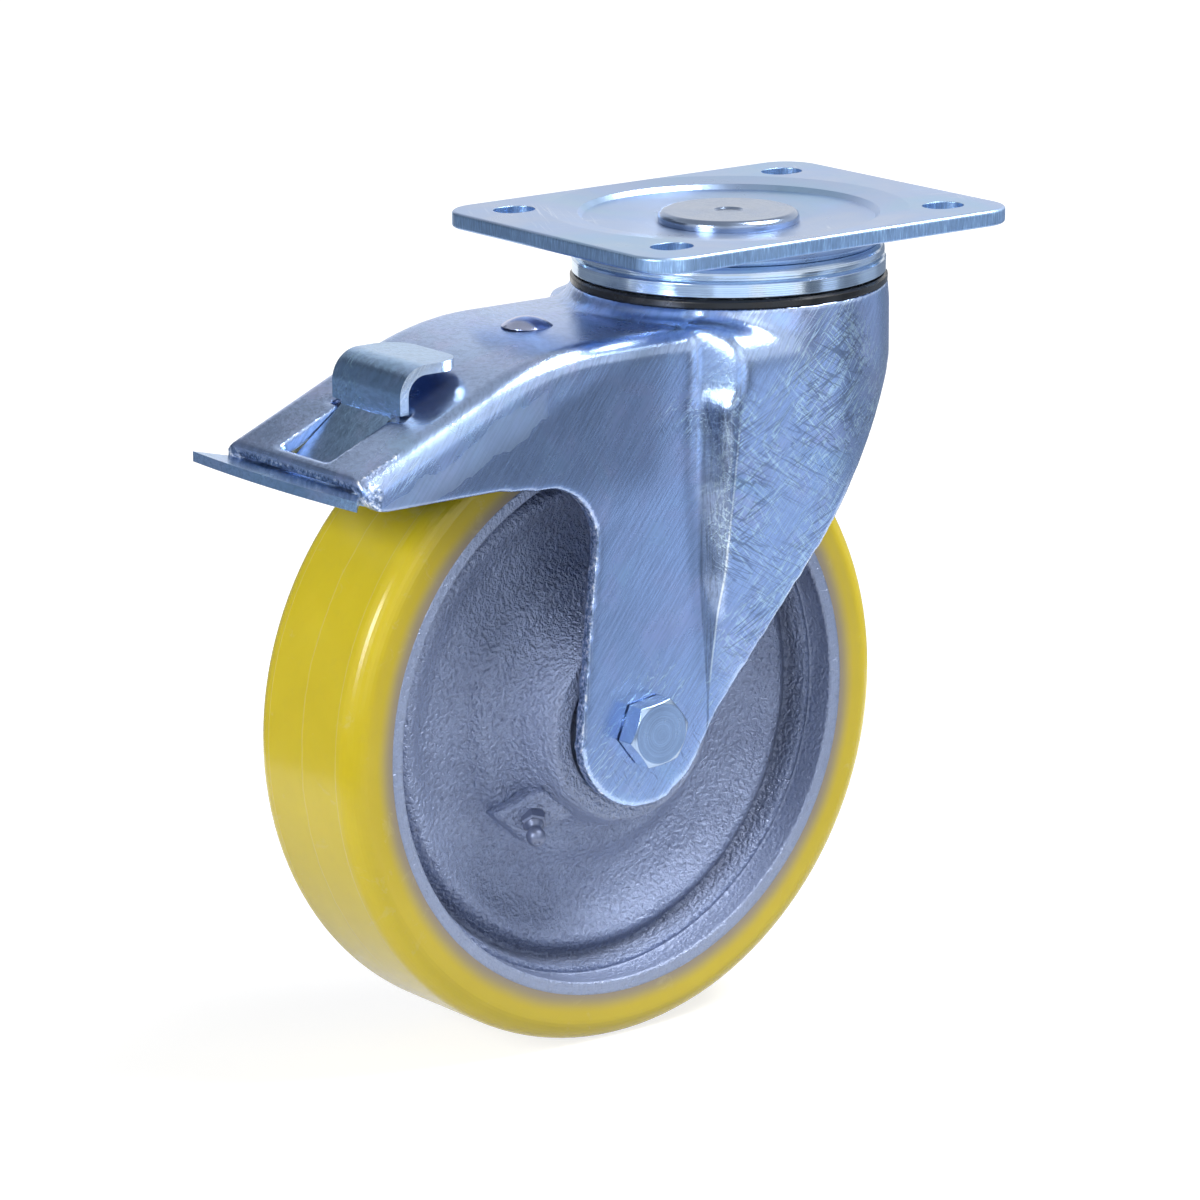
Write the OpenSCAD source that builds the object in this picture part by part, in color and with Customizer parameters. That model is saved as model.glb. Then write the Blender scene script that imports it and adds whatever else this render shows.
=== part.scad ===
// Heavy-duty swivel castor: a pressed steel fork with a foot brake, and a cast wheel
// with a bonded tread. The origin is the centre of the mounting plate's top face.
// +Z is up. The wheel and the pedal lie on the -X side, and the bolt's head faces -Y.

/* [Mounting plate] */
// Length of the plate along the rolling direction
plate_l = 140; // [130:1:160]
// Width of the plate across the rolling direction
plate_w = 110; // [108:1:130]
// Thickness of the plate
plate_t = 5; // [4:0.5:6]
// Corner radius of the plate
plate_corner_r = 12; // [8:1:16]
// Rounding of the plate's sheared edges
plate_edge_r = 1; // [0.5:0.25:1.5]
// Distance between the slots along the rolling direction
slot_pitch_x = 105; // [100:0.5:110]
// Distance between the slots across the rolling direction
slot_pitch_y = 77.5; // [75:0.5:85]
// Width of a slot
slot_w = 11; // [9:0.5:12]
// Length of a slot from end to end
slot_l = 13.5; // [13:0.5:16]

/* [Swivel head] */
// Diameter of an upper ball
upper_ball_d = 8; // [6:0.5:8]
// Number of upper balls
upper_ball_count = 26; // [16:1:28]
// Radius of the circle of lower balls
lower_pitch_r = 27; // [25:0.5:28]
// Diameter of a lower ball
lower_ball_d = 6; // [5:0.5:6]
// Number of lower balls
lower_ball_count = 22; // [14:1:24]
// Radius of the king pin's shank
king_pin_r = 10; // [8:0.5:10]
// Radius of the king pin's head
king_head_r = 21.6; // [18:0.2:23]
// Width of the king nut across its flats
king_nut_af = 30; // [27:1:32]

/* [Fork] */
// Thickness of the fork's sheet
sheet_t = 5; // [4:0.25:5.5]
// Half of the width between the legs
fork_inner_half = 31.5; // [31:0.25:34]
// Outer radius of the round crown
crown_r = 49; // [48.8:0.2:52]
// Height of the hood's flat top below the plate's top
hood_drop = 26.6; // [26:0.2:28]
// Slope of the hood over the pedal
hood_slope = 23.5; // [20:0.5:26]
// Radius of the bend between the hood's flat top and its slope
hood_bend_r = 95; // [85:1:105]
// Radius of the hood's long shoulders
shoulder_r = 7; // [6:0.5:9]
// Radius of the leg's end round the axle
leg_end_r = 24; // [20:0.5:26]

/* [Wheel] */
// Diameter of the wheel
wheel_d = 200; // [190:1:204]
// Width of the tread
wheel_w = 50; // [46:1:54]
// Thickness of the tread
tread_t = 15; // [12:0.5:16]
// Rounding of the tread's edges
tread_edge_r = 7; // [3:0.5:10]
// Length of the hub
hub_l = 60; // [58:0.5:60.5]
// How far the axle lies behind the swivel axis
axle_trail = 61; // [58:0.5:63]
// Height of the axle below the plate's top
axle_drop = 146; // [144:0.5:150]
// Diameter of the axle bolt
bolt_d = 12; // [10:1:12]
// Width of the bolt's head and nut across their flats
bolt_af = 19; // [17:1:22]

/* [Wheel bearings] */
// Outer diameter of a ball bearing
bearing_od = 47; // [42:1:48]
// Width of a ball bearing
bearing_w = 14; // [12:0.5:14]
// Outer diameter of the sleeve that the bearings sit on
sleeve_od = 20; // [17:1:20]
// Diameter of a bearing ball
bearing_ball_d = 7.9; // [6:0.1:8]
// Number of balls in a bearing
bearing_ball_count = 8; // [6:1:9]

/* [Brake] */
// Thickness of the pedal's sheet
pedal_t = 3; // [2.5:0.25:3.5]
// Half of the width of the pedal's tongue at its tips
tongue_half = 42; // [38:1:46]
// Half of the width of the pedal's tab
tab_half = 17.2; // [14:0.2:19]
// Radius of the pedal's pin
pedal_pin_r = 3; // [2.5:0.25:3.25]
// Thickness of the leaf spring
leaf_t = 2.5; // [2:0.25:3]
// Gap between the brake shoe and the tread
shoe_gap = 2.1; // [2:0.1:4]

/* [Hidden] */
$fn = 96;

// Clearances between pieces
seat_gap = 0.02;
slide_gap = 0.05;
play = 0.3;
ball_play = 0.15;
cut = 1;
seam_step = 0.02;

// Swivel head: the race ring stands just inside the crown, and the dish lies above the race
crown_ledge = 1;
race_r = crown_r - crown_ledge;
upper_pitch_r = race_r - upper_ball_d / 2 - 3;
upper_race_wall = upper_ball_d / 2 + 1;
boss_r = race_r - 2;
dish_r = race_r + 7;
dish_floor_r = king_head_r + 4.4;

// Heights in the swivel head, from the top down
recess_depth = 4;
boss_z = -plate_t - 4.5;
race_bottom_z = -19;
crown_z = -21.7;
crown_t = 5.5;
crown_roof_z = crown_z - crown_t;
upper_ball_z = (race_bottom_z + crown_z) / 2;
lower_ball_z = crown_roof_z - lower_ball_d / 4;
lower_race_z = crown_roof_z - lower_ball_d / 2;
lower_race_t = 6;
lower_race_r = lower_pitch_r + 5;
king_nut_z = lower_race_z - lower_race_t;
king_nut_h = 14;
king_pin_end_z = king_nut_z - king_nut_h - 1.8;

// Fork
fork_outer_half = fork_inner_half + sheet_t;
hood_z = -hood_drop;
hood_bend_x = -75.5;
hood_slope_x = hood_bend_x - hood_bend_r * sin(hood_slope);
hood_slope_z = hood_z - hood_bend_r * (1 - cos(hood_slope));
hood_front_x = -162;
lip_bottom_z = -59.6;
side_low_z = -65.7;
crown_shoulder_r = 12;
crown_side_top_z = -25.5;
taper_top_z = -45;
taper_bottom_z = -140;
window_front_x = -157.6;
window_rear_x = -131.2;
window_half = 13;
notch_half = tab_half + 0.6;
notch_l = 5.2;

// Axle and wheel
axle_x = -axle_trail;
axle_z = -axle_drop;
wheel_r = wheel_d / 2;
rim_r = wheel_r - tread_t;
bolt_r = bolt_d / 2;
bolt_head_h = 7.5;
bolt_washer_h = 0.6;
nut_h = 12;
sleeve_r = sleeve_od / 2;
seat_r = bearing_od / 2;
bearing_out_y = hub_l / 2 - 0.5;
bearing_mid_y = bearing_out_y - bearing_w / 2;
inner_ring_r = sleeve_r + 4.2;
outer_ring_r = seat_r - 4.2;
bearing_pitch_r = (sleeve_r + seat_r) / 2;
hub_r = seat_r + 5.5;

// Brake
rivet_x = -77;
rivet_r = 4;
rivet_head_r = 7.8;
rivet_head_h = 2.8;
bracket_t = 3;
bracket_half = 25;
bracket_front_x = -119;
pedal_x = -131;
pedal_z = -60;
cheek_half = 29;
strap_half = window_half - 0.5;
curl_x = -126.5;
curl_z = -38.4;
curl_r = 9.3;
pad_rear_x = -112;
pad_corner_r = 9;
pad_l = pad_rear_x - curl_x + curl_r + pad_corner_r;
tongue_front_x = -169;
tongue_front_z = -59;
tongue_rear_z = lip_bottom_z - 1.2;
leaf_root_x = rivet_x + 8;
leaf_top_z = hood_z - sheet_t - bracket_t - 0.5;
leaf_tip_x = -139;
leaf_bend_x = -80;
leaf_half = 10;
shoe_half = 16;

// Height of the hood's sloping top surface at a place along the castor
function slope_z(x) = hood_slope_z - (hood_slope_x - x) * tan(hood_slope);

// Points on an arc, from one angle to another
function arc(cx, cy, r, a0, a1, n = 8) =
    [for (i = [0:n]) [cx + r * cos(a0 + (a1 - a0) * i / n), cy + r * sin(a0 + (a1 - a0) * i / n)]];

// Reverses a list of points and flips the second coordinate
function mirrored(points) = [for (i = [len(points) - 1:-1:0]) [points[i][0], -points[i][1]]];

// A side view, drawn in X and Z, made into a plate that is centred on Y
module side_plate(width) {
    rotate([90, 0, 0])
        translate([0, 0, -width / 2])
            linear_extrude(width)
                children();
}

// The same plate twice, from one half width to another, on both sides
module side_pair(inner, outer) {
    for (side = [-1, 1])
        translate([0, side * (inner + outer) / 2, 0])
            side_plate(outer - inner)
                children();
}

// A bar along Y from one place to another
module y_bar(r, y0, y1) {
    translate([0, y1, 0])
        rotate([90, 0, 0])
            cylinder(r = r, h = y1 - y0);
}

// A section of radius and distance towards -Y, turned round the axle
module turned_on_axle() {
    translate([axle_x, 0, axle_z])
        rotate([90, 0, 0])
            rotate_extrude($fn = 128)
                children();
}

module rounded_rect(w, h, r) {
    square([w - 2 * r, h], center = true);
    square([w, h - 2 * r], center = true);
    for (x = [-1, 1], y = [-1, 1])
        translate([x * (w / 2 - r), y * (h / 2 - r)])
            circle(r, $fn = 32);
}

module hexagon(af, h) {
    cylinder(d = af / cos(30), h = h, $fn = 6);
}

// Plate with rounded edges and corners, from z = -plate_t to z = 0
module rounded_plate() {
    translate([0, 0, -plate_t / 2]) {
        rotate([90, 0, 90])
            translate([0, 0, plate_corner_r - plate_l / 2])
                linear_extrude(plate_l - 2 * plate_corner_r)
                    rounded_rect(plate_w, plate_t, plate_edge_r);
        rotate([90, 0, 0])
            translate([0, 0, plate_corner_r - plate_w / 2])
                linear_extrude(plate_w - 2 * plate_corner_r)
                    rounded_rect(plate_l, plate_t, plate_edge_r);
        for (x = [-1, 1], y = [-1, 1])
            translate([x * (plate_l / 2 - plate_corner_r), y * (plate_w / 2 - plate_corner_r), 0])
                rotate_extrude()
                    intersection() {
                        rounded_rect(2 * plate_corner_r, plate_t, plate_edge_r);
                        translate([0, -plate_t])
                            square([plate_corner_r, 2 * plate_t]);
                    }
    }
}

module slot() {
    for (x = [-1, 1])
        translate([x * (slot_l - slot_w) / 2, 0, -plate_t - cut])
            cylinder(d = slot_w, h = plate_t + 2 * cut, $fn = 48);
    translate([0, 0, -plate_t / 2])
        cube([slot_l - slot_w, slot_w, plate_t + 2 * cut], center = true);
}

// The plate is dished down round the king pin, and carries the race under the dish
module top_plate() {
    color([0.74, 0.78, 0.86])
        difference() {
            union() {
                rounded_plate();
                rotate_extrude($fn = 128)
                    polygon([[0, -plate_t / 2], [boss_r + 6, -plate_t / 2], [boss_r + 6, -plate_t],
                        [boss_r + 4, -plate_t - 0.5], [boss_r + 1, boss_z + 1.5], [boss_r, boss_z],
                        [0, boss_z]]);
            }
            rotate_extrude($fn = 128)
                polygon([[0, cut], [dish_r, cut], [dish_r, 0], [boss_r, -1], [boss_r - 1.4, -2.5],
                    [dish_floor_r, -recess_depth + 0.4], [king_head_r, -recess_depth],
                    [0, -recess_depth]]);
            translate([0, 0, boss_z - cut])
                cylinder(r = king_pin_r + seat_gap, h = -boss_z + 2 * cut, $fn = 64);
            for (x = [-1, 1], y = [-1, 1])
                translate([x * slot_pitch_x / 2, y * slot_pitch_y / 2, 0])
                    slot();
        }
}

module king_pin() {
    head_z = -0.6;
    edge_r = 2.2;
    color([0.72, 0.75, 0.82])
        rotate_extrude($fn = 96)
            polygon(concat(
                [[0, head_z - 0.5], [3.8, head_z - 0.5], [4.6, head_z], [king_head_r - edge_r, head_z]],
                arc(king_head_r - edge_r, head_z - edge_r, edge_r, 80, 0, 6),
                [[king_head_r, -recess_depth + seat_gap], [king_pin_r, -recess_depth + seat_gap],
                    [king_pin_r, king_pin_end_z + 1.2], [king_pin_r - 1.2, king_pin_end_z],
                    [0, king_pin_end_z]]));
}

module king_nut() {
    color([0.62, 0.64, 0.7])
        translate([0, 0, king_nut_z - king_nut_h])
            difference() {
                intersection() {
                    hexagon(king_nut_af, king_nut_h);
                    rotate_extrude()
                        polygon([[0, 0], [king_nut_af / 2 - 0.6, 0], [king_nut_af / 2 + 3, 2],
                            [king_nut_af / 2 + 3, king_nut_h], [0, king_nut_h]]);
                }
                translate([0, 0, -cut])
                    cylinder(r = king_pin_r + seat_gap, h = king_nut_h + 2 * cut);
            }
}

// Ring that a circle of balls runs in
module ball_groove(pitch_r, z, r) {
    translate([0, 0, z])
        rotate_extrude($fn = 128)
            translate([pitch_r, 0])
                circle(r, $fn = 48);
}

module ball_circle(pitch_r, z, d, count) {
    for (i = [0:count - 1])
        rotate([0, 0, 360 * i / count])
            translate([pitch_r, 0, z])
                sphere(d = d, $fn = 24);
}

module upper_race() {
    groove_z = (boss_z + race_bottom_z) / 2 + 0.9;
    color([0.86, 0.89, 0.94])
        difference() {
            rotate_extrude($fn = 128)
                polygon(concat(
                    [[upper_pitch_r - upper_race_wall, race_bottom_z], [upper_pitch_r - upper_race_wall, boss_z],
                        [race_r - 3, boss_z]],
                    arc(race_r - 3, boss_z - 2.6, 2.6, 90, 0, 5),
                    [[race_r - 0.4, groove_z + 0.6], [race_r - 1.4, groove_z + 0.3], [race_r - 1.4, groove_z - 0.3],
                        [race_r - 0.5, groove_z - 0.7], [race_r, groove_z - 1.3], [race_r, race_bottom_z + 0.6],
                        [race_r - 0.6, race_bottom_z]]));
            ball_groove(upper_pitch_r, upper_ball_z, upper_ball_d / 2 + ball_play);
        }
}

module lower_race() {
    color([0.6, 0.62, 0.66])
        difference() {
            translate([0, 0, lower_race_z - lower_race_t])
                cylinder(r = lower_race_r, h = lower_race_t, $fn = 128);
            translate([0, 0, lower_race_z - lower_race_t - cut])
                cylinder(r = king_pin_r + seat_gap, h = lower_race_t + 2 * cut, $fn = 64);
            ball_groove(lower_pitch_r, lower_ball_z, lower_ball_d / 2 + ball_play);
        }
}

module upper_balls() {
    color([0.85, 0.86, 0.88])
        ball_circle(upper_pitch_r, upper_ball_z, upper_ball_d, upper_ball_count);
}

module lower_balls() {
    color([0.85, 0.86, 0.88])
        ball_circle(lower_pitch_r, lower_ball_z, lower_ball_d, lower_ball_count);
}

module swivel_seal() {
    color([0.06, 0.06, 0.07])
        rotate_extrude($fn = 128)
            polygon([[upper_pitch_r + upper_ball_d / 2 + 1, race_bottom_z - play],
                [race_r - 0.2, race_bottom_z - play], [race_r + 0.5, race_bottom_z - play - 0.7],
                [race_r + 0.5, crown_z], [upper_pitch_r + upper_ball_d / 2 + 1, crown_z]]);
}

// Cross-section of the pressed channel, with its top at zero and both shoulders rounded
module channel_section(half, r, depth) {
    translate([-half, -depth])
        square([2 * half, depth - r]);
    translate([-(half - r), -depth])
        square([2 * (half - r), depth]);
    for (side = [-1, 1])
        translate([side * (half - r), -r])
            circle(r, $fn = 48);
}

// The hood: a flat stretch, a wide bend and a slope. The inner one is smaller by inset.
// The bend runs on a little inside the slope, and stands a hair proud of it at their seam.
module hood(inset) {
    half = fork_outer_half - inset;
    r = shoulder_r - inset;
    flat_l = -hood_bend_x;
    slope_l = 75;
    depth = 80;
    translate([hood_bend_x, 0, hood_z - inset])
        rotate([90, 0, 90])
            linear_extrude(flat_l)
                channel_section(half, r, 160);
    translate([hood_bend_x, 0, hood_z - hood_bend_r])
        rotate([90, 0, 0])
            rotate([0, 0, 90])
                rotate_extrude(angle = hood_slope + 3, $fn = 128)
                    intersection() {
                        translate([hood_bend_r - inset, 0])
                            rotate([0, 0, -90])
                                channel_section(half, r, depth);
                        translate([0, -half - cut])
                            square([hood_bend_r + cut, 2 * half + 2 * cut]);
                    }
    translate([hood_slope_x, 0, hood_slope_z])
        rotate([0, -hood_slope, 0])
            translate([-slope_l, 0, -inset - seam_step])
                rotate([90, 0, 90])
                    linear_extrude(slope_l)
                        channel_section(half - seam_step, r, depth - 5);
}

// Half width of the crown's flat side at a height: rounded above, tapering below
function crown_half(z, inset) =
    let (r = crown_shoulder_r - inset,
        rise = min(r, max(0, z - (crown_side_top_z - inset - r))),
        taper = max(0, taper_top_z - z) / (taper_top_z - taper_bottom_z))
    crown_r - inset - (r - sqrt(r * r - rise * rise)) - taper * (crown_r - fork_outer_half);

// Where the crown's flat side starts and ends its step from the leg: [height, foot, crest]
step_heights = [
    [crown_side_top_z, -41, -34], [-26.5, -41, -34], [-29, -41, -34], [-33, -41, -34],
    [-37.5, -41, -34], [taper_top_z, -41, -34.5], [-50, -41.5, -38], [-72, -42.5, -36],
    [-103, -41, -33], [-122, -40.4, -31.6], [-133, -39, -32.5], [-138.5, -37, -34.5]];

// Plan outline of one raised side at a height, for the left side of the castor
function raised_ring(entry, inset) =
    let (z = entry[0] - (entry[0] > taper_top_z ? inset : 0),
        half = crown_half(z, inset),
        leg = fork_outer_half - inset,
        run = entry[2] - entry[1],
        rise = max(0.2, crown_half(z, 0) - fork_outer_half),
        shift = inset * (norm([run, rise]) - run) / rise)
    [[entry[1] + shift, -20, z], [entry[1] + shift, -min(leg, half), z], [entry[2] + shift, -half, z],
        [0, -half, z], [0, -20, z]];

// The side that steps out from the leg to the crown's width and tapers down to the leg
module raised_side(inset) {
    rings = [for (entry = step_heights) raised_ring(entry, inset)];
    levels = len(rings);
    side_faces = [for (k = [0:levels - 2], i = [0:4], half = [0, 1])
        let (a = 5 * k + i, b = 5 * k + (i + 1) % 5)
        half == 0 ? [a, b, b + 5] : [a, b + 5, a + 5]];
    faces = concat([[4, 3, 2, 1, 0]], side_faces, [[for (i = [0:4]) 5 * (levels - 1) + i]]);
    points = [for (ring = rings) each ring];
    for (side = [0, 1])
        mirror([0, side, 0])
            polyhedron(points, faces, convexity = 4);
}

// The round crown and the skirt behind it, which tapers with the sides
module crown(inset) {
    neck_r = race_r + 0.5;
    rotate_extrude($fn = 128)
        if (inset == 0)
            polygon([[0, crown_z], [neck_r, crown_z], [crown_r, crown_z - 6], [crown_r, taper_top_z],
                [fork_outer_half, taper_bottom_z], [0, taper_bottom_z]]);
        else
            polygon([[0, crown_roof_z], [crown_r - inset - 3, crown_roof_z],
                [crown_r - inset, crown_roof_z - 3], [crown_r - inset, taper_top_z],
                [fork_outer_half - inset, taper_bottom_z], [0, taper_bottom_z]]);
}

// The neck flares out where it meets the hood's flat top
module neck_flare() {
    intersection() {
        rotate_extrude($fn = 128)
            polygon([[0, crown_z - 0.5], [crown_r - 0.2, crown_z - 0.5], [crown_r + 0.8, crown_z - 2.6],
                [crown_r + 2.2, crown_z - 4.2], [crown_r + 4.5, hood_z], [0, hood_z]]);
        translate([-70, -(fork_outer_half - shoulder_r), hood_z])
            cube([50, 2 * (fork_outer_half - shoulder_r), 10]);
    }
}

// Side view that trims the whole housing: hood, leg and skirt
module side_outline() {
    polygon(concat(
        [[crown_r + 11, -15], [hood_front_x, -15], [hood_front_x, lip_bottom_z + 1]],
        arc(hood_front_x + 8, side_low_z + 7.5, 7.5, 195, 270, 6),
        [[-115, side_low_z + 0.2]],
        arc(-98, -87, 19.8, 96, 5, 10),
        arc(axle_x, axle_z, leg_end_r, 186, 330, 24),
        [[-33, -145.7], [-27, -139.1], [8.4, -91], [31, -58], [crown_r + 1, -36], [crown_r + 11, -36]]));
}

// Opening in the hood's slope that the pedal's tab comes up through
module window() {
    translate([0, 0, -80]) {
        translate([window_front_x, -window_half, 0])
            cube([window_rear_x - window_front_x, 2 * window_half, 60]);
        translate([window_rear_x - notch_l, -notch_half, 0])
            cube([notch_l, 2 * notch_half, 60]);
    }
}

module fork_housing() {
    color([0.5, 0.56, 0.68])
        difference() {
            intersection() {
                union() {
                    hood(0);
                    crown(0);
                    raised_side(0);
                    neck_flare();
                    translate([-90, -fork_outer_half, -180])
                        cube([90, 2 * fork_outer_half, 140]);
                }
                side_plate(2 * crown_r + 10)
                    side_outline();
            }
            intersection() {
                hood(sheet_t);
                translate([hood_front_x + sheet_t, -60, -190])
                    cube([200, 120, 180]);
            }
            crown(sheet_t);
            raised_side(sheet_t);
            translate([-90 - cut, -fork_inner_half, -190])
                cube([90 + 30, 2 * fork_inner_half, 145]);
            translate([hood_front_x - 5, -fork_inner_half + 1, -90])
                cube([20, 2 * fork_inner_half - 2, 90 + lip_bottom_z]);
            window();
            translate([axle_x, 0, axle_z])
                y_bar(bolt_r + slide_gap, -60, 60);
            translate([rivet_x, 0, hood_z - 2 * sheet_t])
                cylinder(r = rivet_r + seat_gap, h = 3 * sheet_t, $fn = 48);
            translate([0, 0, crown_roof_z - cut])
                cylinder(r = king_pin_r + 3, h = crown_t + 2 * cut, $fn = 64);
            ball_groove(upper_pitch_r, upper_ball_z, upper_ball_d / 2 + seat_gap);
            ball_groove(lower_pitch_r, lower_ball_z, lower_ball_d / 2 + seat_gap);
        }
}

// Bolt along Y, with its head on the -Y side
module axle_bolt() {
    corner_r = bolt_af / 2 / cos(30);
    head_y = -fork_outer_half - bolt_washer_h;
    end_y = fork_outer_half + nut_h + 2.5;
    color([0.8, 0.84, 0.9])
        translate([axle_x, 0, axle_z]) {
            y_bar(bolt_r, -fork_outer_half - cut, end_y);
            y_bar(bolt_af / 2 - 0.4, head_y - cut, -fork_outer_half);
            translate([0, head_y, 0])
                rotate([90, 0, 0])
                    intersection() {
                        rotate([0, 0, 8])
                            hexagon(bolt_af, bolt_head_h - bolt_washer_h);
                        rotate_extrude()
                            polygon([[0, 0], [corner_r, 0], [corner_r, bolt_head_h - bolt_washer_h - 1],
                                [bolt_af / 2 - 0.3, bolt_head_h - bolt_washer_h],
                                [0, bolt_head_h - bolt_washer_h]]);
                    }
        }
}

module axle_nut() {
    corner_r = bolt_af / 2 / cos(30);
    collar_r = bolt_af / 2 - 1.2;
    color([0.78, 0.82, 0.88])
        translate([axle_x, fork_outer_half, axle_z])
            rotate([-90, 0, 0])
                difference() {
                    union() {
                        intersection() {
                            hexagon(bolt_af, nut_h - 3);
                            rotate_extrude()
                                polygon([[0, 0], [bolt_af / 2 - 0.3, 0], [corner_r, 0.8],
                                    [corner_r, nut_h - 4.2], [bolt_af / 2 - 0.5, nut_h - 3], [0, nut_h - 3]]);
                        }
                        rotate_extrude()
                            polygon([[0, nut_h - 4], [collar_r, nut_h - 4], [collar_r, nut_h - 1],
                                [collar_r - 1, nut_h], [0, nut_h]]);
                    }
                    translate([0, 0, -cut])
                        cylinder(r = bolt_r + seat_gap, h = nut_h + 2 * cut);
                }
}

module axle_sleeve() {
    color([0.66, 0.68, 0.72])
        turned_on_axle()
            translate([bolt_r + slide_gap, -(fork_inner_half - seat_gap)])
                square([sleeve_r - bolt_r - slide_gap, 2 * (fork_inner_half - seat_gap)]);
}

// Rings that hold the bearings' inner rings off the legs
module thrust_rings() {
    color([0.66, 0.68, 0.72])
        for (side = [0, 1])
            mirror([0, side, 0])
                turned_on_axle()
                    translate([sleeve_r + seat_gap, bearing_out_y + seat_gap])
                        square([inner_ring_r - sleeve_r - 0.6, fork_inner_half - bearing_out_y - 2 * seat_gap]);
}

// One ring of each bearing, with the groove that its balls run in
module bearing_rings(r0, r1, groove_play) {
    for (side = [0, 1])
        mirror([0, side, 0])
            turned_on_axle()
                difference() {
                    translate([r0, bearing_out_y - bearing_w])
                        square([r1 - r0, bearing_w]);
                    translate([bearing_pitch_r, bearing_mid_y])
                        circle(bearing_ball_d / 2 + groove_play, $fn = 48);
                }
}

module bearing_inner_rings() {
    color([0.82, 0.83, 0.85])
        bearing_rings(sleeve_r + seat_gap, inner_ring_r, seat_gap);
}

module bearing_outer_rings() {
    color([0.82, 0.83, 0.85])
        bearing_rings(outer_ring_r, seat_r - seat_gap, seat_gap);
}

module bearing_balls() {
    color([0.85, 0.86, 0.88])
        for (side = [-1, 1], i = [0:bearing_ball_count - 1])
            translate([axle_x, side * bearing_mid_y, axle_z])
                rotate([0, 360 * i / bearing_ball_count, 0])
                    translate([bearing_pitch_r - 0.05, 0, 0])
                        sphere(d = bearing_ball_d - ball_play, $fn = 24);
}

module bearing_shields() {
    color([0.55, 0.57, 0.6])
        for (side = [0, 1], y = [bearing_out_y - 0.9, bearing_out_y - bearing_w + 0.4])
            mirror([0, side, 0])
                turned_on_axle()
                    translate([inner_ring_r + play, y])
                        square([outer_ring_r - inner_ring_r - play - seat_gap, 0.5]);
}

// Half of the cast wheel's section, from the bore outwards, as radius and distance from the middle
function wheel_half_section() =
    let (rim_y = wheel_w / 2, hub_y = hub_l / 2, flare_h = hub_y - 0.8 - web_y,
        cove_w = ledge_r - cove_r, cove_h = ledge_y - web_y,
        cove_angle = 2 * atan(cove_h / cove_w), cove_bend = cove_w / sin(cove_angle))
    concat(
        [[sleeve_r + 4, bearing_out_y - bearing_w], [seat_r, bearing_out_y - bearing_w], [seat_r, hub_y],
            [hub_r, hub_y]],
        [for (a = [0:9:90]) [flare_r - (flare_r - hub_r - 0.8) * cos(a), hub_y - 0.8 - flare_h * sin(a)]],
        arc(cove_r, web_y + cove_bend, cove_bend, 270, 270 + cove_angle, 8),
        [[ledge_r + 0.3, ledge_y + 0.2], [rim_r - 5.2, ledge_y + 1.4], [rim_r - 4.9, ledge_y + 2.4],
            [rim_r - 4.2, rim_y - 0.7], [rim_r - 3.6, rim_y], [rim_r, rim_y]]);

// Places of the wheel's web, its cove and its ledge
web_y = 7;
flare_r = hub_r + 19;
cove_r = rim_r - 28;
ledge_r = rim_r - 6.6;
ledge_y = 15.2;

// The nipple's boss: a flat that slopes from the hub down to the web, and the nipple square on it
boss_turn = 131;
boss_w = 15.3;
boss_slope = 44;
boss_foot_r = 43.8;
nipple_along = 7.5;

module on_boss() {
    translate([axle_x, 0, axle_z])
        rotate([0, boss_turn, 0])
            translate([boss_foot_r, -web_y, 0])
                rotate([0, 0, boss_slope - 90])
                    children();
}

module wheel_centre() {
    half = wheel_half_section();
    color([0.47, 0.48, 0.53])
        difference() {
            union() {
                turned_on_axle()
                    polygon(concat(half, mirrored(half)));
                intersection() {
                    on_boss()
                        translate([-20, -21, -boss_w / 2])
                            cube([20, 22, boss_w]);
                    turned_on_axle()
                        translate([hub_r - 3, 0])
                            square([20, hub_l / 2 - 3]);
                }
            }
            on_boss()
                translate([-8, -nipple_along, 0])
                    rotate([0, 90, 0])
                        cylinder(r = 2.6 + seat_gap, h = 9, $fn = 48);
        }
}

module tread() {
    half = concat([[rim_r, wheel_w / 2]],
        arc(wheel_r - tread_edge_r, wheel_w / 2 - tread_edge_r, tread_edge_r, 90, 0, 10));
    color([0.83, 0.72, 0.16])
        turned_on_axle()
            polygon(concat(half, mirrored(half)));
}

// Shank, hexagon, neck and ball of the nipple
module grease_nipple() {
    color([0.7, 0.72, 0.76])
        on_boss()
            translate([0, -nipple_along, 0])
                rotate([0, 90, 0]) {
                    rotate([0, 0, 20])
                        hexagon(7, 3);
                    rotate_extrude($fn = 48)
                        polygon(concat([[0, -6], [2.6, -6], [2.6, 4], [1.9, 5]],
                            arc(0, 7.8, 3, -55, 60, 8), [[0, 7.8 + 3 * sin(60)]]));
                }
}

// Rivet through the hood, the bracket and the leaf, with a low domed head
module hood_rivet() {
    dome_r = (rivet_head_r * rivet_head_r + rivet_head_h * rivet_head_h) / (2 * rivet_head_h);
    edge = asin(rivet_head_r / dome_r);
    tail_z = leaf_top_z - leaf_t - 2 - hood_z;
    color([0.8, 0.82, 0.86])
        translate([rivet_x, 0, hood_z])
            rotate_extrude($fn = 64)
                polygon(concat(
                    arc(0, rivet_head_h - dome_r, dome_r, 90, 90 - edge, 8),
                    [[rivet_r, 0], [rivet_r, tail_z], [rivet_r + 3, tail_z], [rivet_r + 2, tail_z - 2.2],
                        [0, tail_z - 2.6]]));
}

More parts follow.
